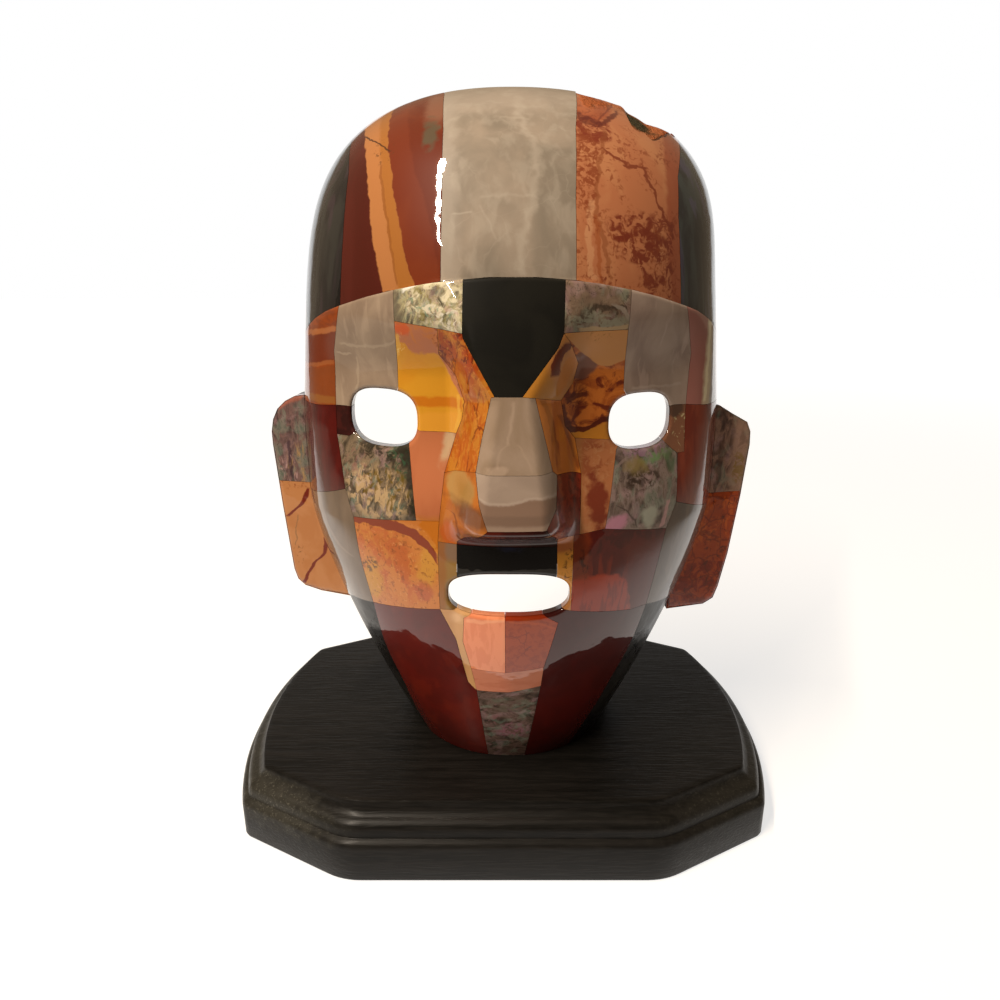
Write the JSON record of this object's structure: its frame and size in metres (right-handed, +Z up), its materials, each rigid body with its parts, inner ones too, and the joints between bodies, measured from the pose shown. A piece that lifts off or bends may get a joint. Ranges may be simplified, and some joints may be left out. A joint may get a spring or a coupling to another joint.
{
  "type": "stone mosaic mask on a base",
  "caption": "Souvenir face mask of polished stone and shell plates on a hollow black backing, with open eyes and mouth, standing on a moulded black wooden base.",
  "frame": {"origin": "underside of the base, at the middle of the whole object's box", "axes": "+Z up, the mask looks along -Y, +X is on the right of the picture"},
  "size_m": [0.153, 0.1045, 0.1906],
  "materials": {
    "black_wood": "black stain under a satin lacquer, worn grey on the mouldings",
    "black_resin": "cast black resin, smooth and half glossy",
    "red_jasper": "flat-lapped and polished, under a coat of clear resin",
    "banded_jasper": "flat-lapped and polished, under a coat of clear resin",
    "striped_jasper": "flat-lapped and polished, under a coat of clear resin",
    "dendrite_jasper": "flat-lapped and polished, under a coat of clear resin",
    "yellow_jasper": "flat-lapped and polished, under a coat of clear resin",
    "breccia_jasper": "flat-lapped and polished, under a coat of clear resin",
    "pink_jasper": "flat-lapped and polished, under a coat of clear resin",
    "pale_pink_jasper": "flat-lapped and polished, under a coat of clear resin",
    "grey_quartz": "flat-lapped and polished, under a coat of clear resin",
    "obsidian": "polished volcanic glass",
    "abalone_shell": "polished shell under clear resin"
  },
  "bodies": {
    "root": {"base": "black_wood", "mask_backing": "black_resin", "forehead_side_left": "obsidian", "forehead_jasper_left": "striped_jasper", "forehead_quartz": "grey_quartz", "forehead_jasper_right": "dendrite_jasper", "forehead_side_right": "obsidian", "temple_upper_left": "banded_jasper", "temple_lower_left": "red_jasper", "brow_quartz_left": "grey_quartz", "eye_corner_left": "red_jasper", "brow_abalone_left": "abalone_shell", "brow_obsidian": "obsidian", "brow_abalone_right": "abalone_shell", "brow_quartz_right": "grey_quartz", "eye_corner_right": "red_jasper", "temple_upper_right": "banded_jasper", "temple_lower_right": "red_jasper", "socket_jasper_left": "yellow_jasper", "nose_side_left": "breccia_jasper", "cheek_jasper_left": "pink_jasper", "cheek_abalone_left": "abalone_shell", "side_quartz_left": "grey_quartz", "lower_cheek_left": "breccia_jasper", "nose_wing_left": "breccia_jasper", "mouth_corner_left": "yellow_jasper", "nose_ridge": "grey_quartz", "nose_tip": "grey_quartz", "nose_underside": "red_jasper", "nose_side_upper_right": "yellow_jasper", "nose_side_lower_right": "yellow_jasper", "socket_jasper_right": "breccia_jasper", "cheek_jasper_right": "pink_jasper", "cheek_abalone_right": "abalone_shell", "nose_wing_right": "red_jasper", "mouth_corner_right": "yellow_jasper", "side_quartz_right": "grey_quartz", "lower_cheek_right": "pink_jasper", "upper_lip_obsidian": "obsidian", "lip_sliver_left": "yellow_jasper", "lower_lip_left": "pale_pink_jasper", "lower_lip_right": "pink_jasper", "chin_band": "pale_pink_jasper", "chin_abalone": "abalone_shell", "jaw_jasper_left": "red_jasper", "jaw_jasper_right": "red_jasper", "ear_upper_left": "abalone_shell", "ear_lower_left": "dendrite_jasper", "ear_upper_right": "abalone_shell", "ear_lower_right": "dendrite_jasper"}
  },
  "joints": []
}
